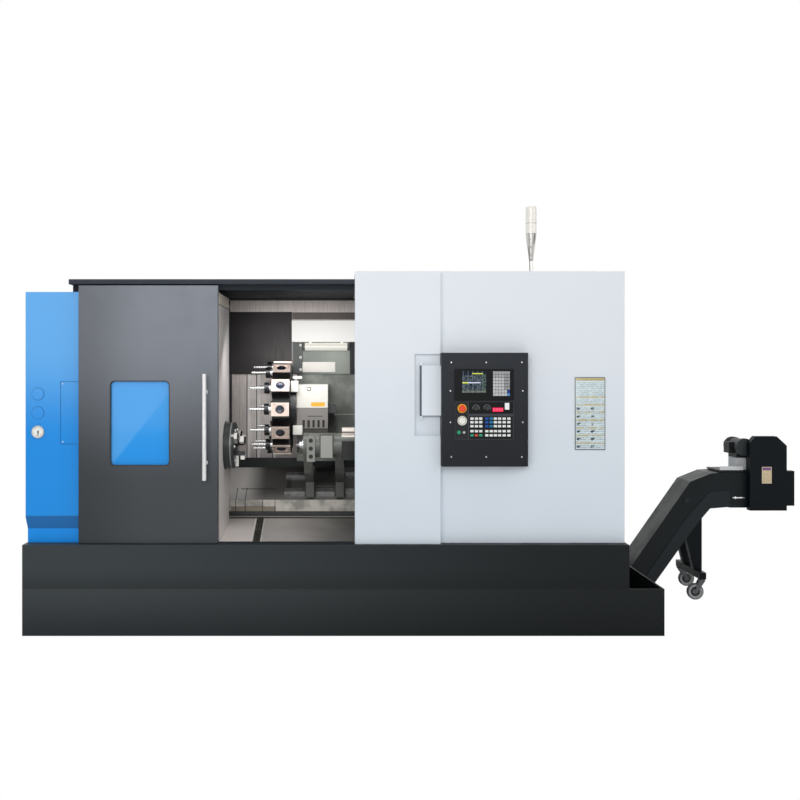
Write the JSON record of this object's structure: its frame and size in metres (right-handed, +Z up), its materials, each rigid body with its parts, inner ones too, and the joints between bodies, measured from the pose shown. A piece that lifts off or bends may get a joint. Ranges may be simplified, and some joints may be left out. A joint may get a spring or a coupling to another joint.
{
  "type": "cnc turning lathe",
  "caption": "Slant-bed turning lathe with a drum turret, tailstock, sliding front door, swinging control panel and a chip conveyor with a raised outlet",
  "frame": {"origin": "middle of the coolant tank's underside, on the floor", "axes": "+X runs right along the spindle axis as seen from the front, +Y runs from the front to the back, +Z is up"},
  "size_m": [5.512, 2.15, 2.864],
  "materials": {
    "coolant_tank": "satin paint",
    "machine_base": "satin paint",
    "slant_bed": "machined and painted casting",
    "bed_guideways": "brushed",
    "headstock": "machined and painted casting",
    "left_cabinet": "satin paint",
    "service_hatch": "satin paint",
    "pressure_gauge": "gloss",
    "upper_housing": "satin paint",
    "rear_cover": "satin paint",
    "side_guard": "brushed",
    "back_guard": "brushed",
    "bed_cover": "brushed",
    "chip_apron": "brushed",
    "tailstock_cover": "satin paint",
    "right_cabinet": "satin paint",
    "door_rails": "brushed",
    "signal_lamp_stand": "polished",
    "signal_lamp_lens": "gloss",
    "work_lamp": "gloss",
    "conveyor_casing": "satin paint",
    "conveyor_belt": "brushed",
    "conveyor_drive_guard": "satin paint",
    "conveyor_gearmotor": "satin paint",
    "conveyor_stand": "satin paint",
    "door_panel": "satin paint",
    "door_window": "clear tinted",
    "door_handle": "brushed",
    "gauge_needle": "satin paint",
    "electric_cabinet_door": "satin paint",
    "spindle_chuck": "brushed",
    "chuck_jaw_1": "brushed",
    "chuck_jaw_2": "brushed",
    "chuck_jaw_3": "brushed",
    "saddle": "brushed",
    "cover_sheet_1": "brushed",
    "cover_sheet_2": "brushed",
    "cross_slide": "satin paint",
    "turret_disc": "machined and painted casting",
    "tool_blocks": "brushed",
    "idle_tools": "brushed",
    "live_tool": "brushed",
    "tailstock_body": "machined and painted casting",
    "tailstock_quill": "polished",
    "live_center": "brushed",
    "control_box": "satin paint",
    "panel_arm": "satin paint",
    "display_unit": "matt",
    "operator_board": "matt",
    "emergency_stop": "gloss",
    "handwheel": "gloss",
    "feed_dial": "matt",
    "spindle_dial": "matt",
    "key_switch": "brushed",
    "start_button": "gloss",
    "conveyor_head_shaft": "brushed",
    "caster_fork_front": "brushed",
    "caster_wheel_front": "matt",
    "caster_fork_rear": "brushed",
    "caster_wheel_rear": "matt"
  },
  "bodies": {
    "machine": {"coolant_tank": "coolant_tank", "machine_base": "machine_base", "slant_bed": "slant_bed", "bed_guideways": "bed_guideways", "headstock": "headstock", "left_cabinet": "left_cabinet", "service_hatch": "service_hatch", "pressure_gauge": "pressure_gauge", "upper_housing": "upper_housing", "rear_cover": "rear_cover", "side_guard": "side_guard", "back_guard": "back_guard", "bed_cover": "bed_cover", "chip_apron": "chip_apron", "tailstock_cover": "tailstock_cover", "right_cabinet": "right_cabinet", "door_rails": "door_rails", "signal_lamp_stand": "signal_lamp_stand", "signal_lamp_lens": "signal_lamp_lens", "work_lamp": "work_lamp", "conveyor_casing": "conveyor_casing", "conveyor_belt": "conveyor_belt", "conveyor_drive_guard": "conveyor_drive_guard", "conveyor_gearmotor": "conveyor_gearmotor", "conveyor_stand": "conveyor_stand"},
    "door": {"door_panel": "door_panel", "door_window": "door_window", "door_handle": "door_handle"},
    "gauge_needle": {"gauge_needle": "gauge_needle"},
    "electric_cabinet_door": {"electric_cabinet_door": "electric_cabinet_door"},
    "spindle": {"spindle_chuck": "spindle_chuck"},
    "chuck_jaw_1": {"chuck_jaw_1": "chuck_jaw_1"},
    "chuck_jaw_2": {"chuck_jaw_2": "chuck_jaw_2"},
    "chuck_jaw_3": {"chuck_jaw_3": "chuck_jaw_3"},
    "saddle": {"saddle": "saddle"},
    "cover_sheet_1": {"cover_sheet_1": "cover_sheet_1"},
    "cover_sheet_2": {"cover_sheet_2": "cover_sheet_2"},
    "cross_slide": {"cross_slide": "cross_slide"},
    "turret": {"turret_disc": "turret_disc", "tool_blocks": "tool_blocks", "idle_tools": "idle_tools"},
    "live_tool": {"live_tool": "live_tool"},
    "tailstock": {"tailstock_body": "tailstock_body"},
    "quill": {"tailstock_quill": "tailstock_quill"},
    "live_center": {"live_center": "live_center"},
    "control_panel": {"control_box": "control_box", "panel_arm": "panel_arm", "display_unit": "display_unit", "operator_board": "operator_board"},
    "emergency_stop": {"emergency_stop": "emergency_stop"},
    "handwheel": {"handwheel": "handwheel"},
    "feed_dial": {"feed_dial": "feed_dial"},
    "spindle_dial": {"spindle_dial": "spindle_dial"},
    "key_switch": {"key_switch": "key_switch"},
    "start_button": {"start_button": "start_button"},
    "conveyor_head_shaft": {"conveyor_head_shaft": "conveyor_head_shaft"},
    "caster_fork_front": {"caster_fork_front": "caster_fork_front"},
    "caster_wheel_front": {"caster_wheel_front": "caster_wheel_front"},
    "caster_fork_rear": {"caster_fork_rear": "caster_fork_rear"},
    "caster_wheel_rear": {"caster_wheel_rear": "caster_wheel_rear"}
  },
  "joints": [
    {"name": "door_slide", "type": "slide", "parent": "machine", "child": "door", "axis": [1, 0, 0], "range_m": [0, 0.893]},
    {"name": "gauge_turn", "type": "hinge", "parent": "machine", "child": "gauge_needle", "pos_m": [-2.012, -0.965, 1.321], "axis": [0, 1, 0], "range_deg": [0, 270]},
    {"name": "cabinet_door_swing", "type": "hinge", "parent": "machine", "child": "electric_cabinet_door", "pos_m": [1.806, 1.0426, 1.4], "axis": [0, 0, -1], "range_deg": [0, 110]},
    {"name": "chuck_spin", "type": "hinge", "parent": "machine", "child": "spindle", "pos_m": [-1.2, -0.62, 1.207], "axis": [1, 0, 0], "continuous": true},
    {"name": "jaw_1_slide", "type": "slide", "parent": "spindle", "child": "chuck_jaw_1", "axis": [0, -0.866, 0.5], "range_m": [-0.004, 0.006]},
    {"name": "jaw_2_slide", "type": "slide", "parent": "spindle", "child": "chuck_jaw_2", "axis": [0, 0, -1], "range_m": [-0.004, 0.006]},
    {"name": "jaw_3_slide", "type": "slide", "parent": "spindle", "child": "chuck_jaw_3", "axis": [0, 0.866, 0.5], "range_m": [-0.004, 0.006]},
    {"name": "saddle_travel", "type": "slide", "parent": "machine", "child": "saddle", "axis": [1, 0, 0], "range_m": [-0.01, 0.45]},
    {"name": "screen_1_travel", "type": "slide", "parent": "machine", "child": "cover_sheet_1", "axis": [1, 0, 0], "range_m": [-0.004, 0.151]},
    {"name": "screen_2_travel", "type": "slide", "parent": "machine", "child": "cover_sheet_2", "axis": [1, 0, 0], "range_m": [-0.007, 0.301]},
    {"name": "cross_travel", "type": "slide", "parent": "saddle", "child": "cross_slide", "axis": [0, 0.866, 0.5], "range_m": [-0.19, 0]},
    {"name": "turret_index", "type": "hinge", "parent": "cross_slide", "child": "turret", "pos_m": [-0.36, -0.19565, 1.452], "axis": [1, 0, 0], "continuous": true},
    {"name": "live_tool_spin", "type": "hinge", "parent": "turret", "child": "live_tool", "pos_m": [-0.55, -0.45545, 1.302], "axis": [1, 0, 0], "continuous": true},
    {"name": "tailstock_travel", "type": "slide", "parent": "machine", "child": "tailstock", "axis": [1, 0, 0], "range_m": [-0.02, 0.5]},
    {"name": "quill_travel", "type": "slide", "parent": "tailstock", "child": "quill", "axis": [-1, 0, 0], "range_m": [0, 0.08]},
    {"name": "live_center_spin", "type": "hinge", "parent": "quill", "child": "live_center", "pos_m": [-0.29, -0.62, 1.207], "axis": [1, 0, 0], "continuous": true},
    {"name": "panel_swing", "type": "hinge", "parent": "machine", "child": "control_panel", "pos_m": [0.51, -0.999, 1.593], "axis": [0, 0, -1], "range_deg": [0, 90]},
    {"name": "stop_press", "type": "slide", "parent": "control_panel", "child": "emergency_stop", "axis": [0, 1, 0], "range_m": [0, 0.006], "stiffness_N_per_m": 400},
    {"name": "handwheel_turn", "type": "hinge", "parent": "control_panel", "child": "handwheel", "pos_m": [0.769, -1.07, 1.401], "axis": [0, 1, 0], "continuous": true},
    {"name": "feed_dial_turn", "type": "hinge", "parent": "control_panel", "child": "feed_dial", "pos_m": [0.86, -1.07, 1.482], "axis": [0, 1, 0], "range_deg": [-135, 135]},
    {"name": "spindle_dial_turn", "type": "hinge", "parent": "control_panel", "child": "spindle_dial", "pos_m": [0.932, -1.07, 1.482], "axis": [0, 1, 0], "range_deg": [-135, 135]},
    {"name": "key_turn", "type": "hinge", "parent": "control_panel", "child": "key_switch", "pos_m": [0.781, -1.07, 1.325], "axis": [0, 1, 0], "range_deg": [0, 90]},
    {"name": "start_press", "type": "slide", "parent": "control_panel", "child": "start_button", "axis": [0, 1, 0], "range_m": [0, 0.003], "stiffness_N_per_m": 400},
    {"name": "conveyor_head_spin", "type": "hinge", "parent": "machine", "child": "conveyor_head_shaft", "pos_m": [3.215, 0.1, 0.808], "axis": [0, 1, 0], "continuous": true},
    {"name": "front_caster_swivel", "type": "hinge", "parent": "machine", "child": "caster_fork_front", "pos_m": [2.702, -0.081, 0.15], "axis": [0, 0, 1], "continuous": true},
    {"name": "front_wheel_spin", "type": "hinge", "parent": "caster_fork_front", "child": "caster_wheel_front", "pos_m": [2.653, -0.081, 0.061], "axis": [0, 1, 0], "continuous": true},
    {"name": "rear_caster_swivel", "type": "hinge", "parent": "machine", "child": "caster_fork_rear", "pos_m": [2.702, 0.366, 0.15], "axis": [0, 0, 1], "continuous": true},
    {"name": "rear_wheel_spin", "type": "hinge", "parent": "caster_fork_rear", "child": "caster_wheel_rear", "pos_m": [2.751, 0.366, 0.061], "axis": [0, 1, 0], "continuous": true}
  ],
  "couplings": [
    {"joint": "jaw_2_slide", "follows": "jaw_1_slide", "ratio": 1},
    {"joint": "jaw_3_slide", "follows": "jaw_1_slide", "ratio": 1},
    {"joint": "screen_1_travel", "follows": "saddle_travel", "ratio": 0.33333},
    {"joint": "screen_2_travel", "follows": "saddle_travel", "ratio": 0.66667}
  ]
}
